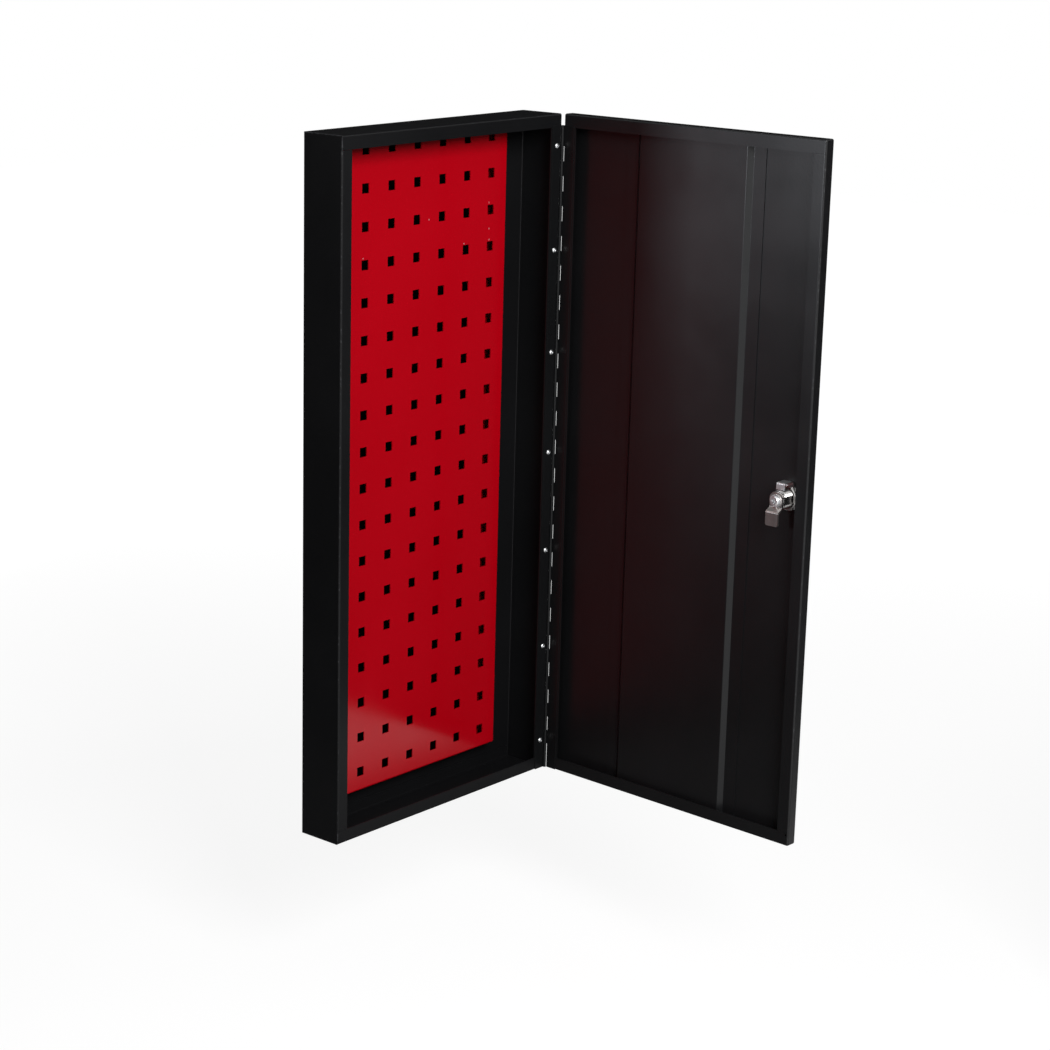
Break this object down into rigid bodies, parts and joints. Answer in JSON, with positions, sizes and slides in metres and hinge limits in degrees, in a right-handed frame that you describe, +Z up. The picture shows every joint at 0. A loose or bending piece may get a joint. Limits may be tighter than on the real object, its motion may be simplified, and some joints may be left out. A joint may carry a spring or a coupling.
{
  "type": "tool chest side locker",
  "caption": "Shallow wall-hung steel locker with a perforated tool panel inside and a full-height hinged door with a cam lock.",
  "frame": {"origin": "centre of the four mounting holes, on the face that lies against the chest", "axes": "+Y out of the back towards the chest, so the locker opens towards -Y; +X towards the hinge side; +Z up"},
  "size_m": [0.3446, 0.3842, 0.72],
  "materials": {
    "black_coat": "satin powder coat with a fine texture",
    "red_coat": "glossy powder coat",
    "zinc_plate": "bright zinc plate",
    "lock_plate": "polished nickel plate",
    "pin_steel": "drawn steel"
  },
  "bodies": {
    "cabinet": {"cabinet_wrap": "black_coat", "top_cap": "black_coat", "bottom_cap": "black_coat", "lock_keeper": "black_coat", "tool_panel": "red_coat", "panel_studs": "zinc_plate", "hinge_leaf_body": "black_coat", "hinge_rivets": "zinc_plate", "hinge_pin": "pin_steel"},
    "door": {"door_tray": "black_coat", "door_stiffener": "black_coat", "hinge_leaf_door": "black_coat", "lock_body": "lock_plate", "lock_washer": "zinc_plate", "lock_nut": "lock_plate"},
    "lock_core": {"lock_plug": "lock_plate", "stop_washer": "zinc_plate", "lock_cam": "lock_plate", "cam_washer": "zinc_plate", "cam_screw": "zinc_plate"}
  },
  "joints": [
    {"name": "door_hinge", "type": "hinge", "parent": "cabinet", "child": "door", "pos_m": [0.16515, -0.0538, 0], "axis": [0, 0, 1], "range_deg": [-88, 92]},
    {"name": "lock_turn", "type": "hinge", "parent": "door", "child": "lock_core", "pos_m": [0.15647, -0.35383, 0.002], "axis": [-0.9994, 0.0349, 0], "range_deg": [0, 90]}
  ]
}
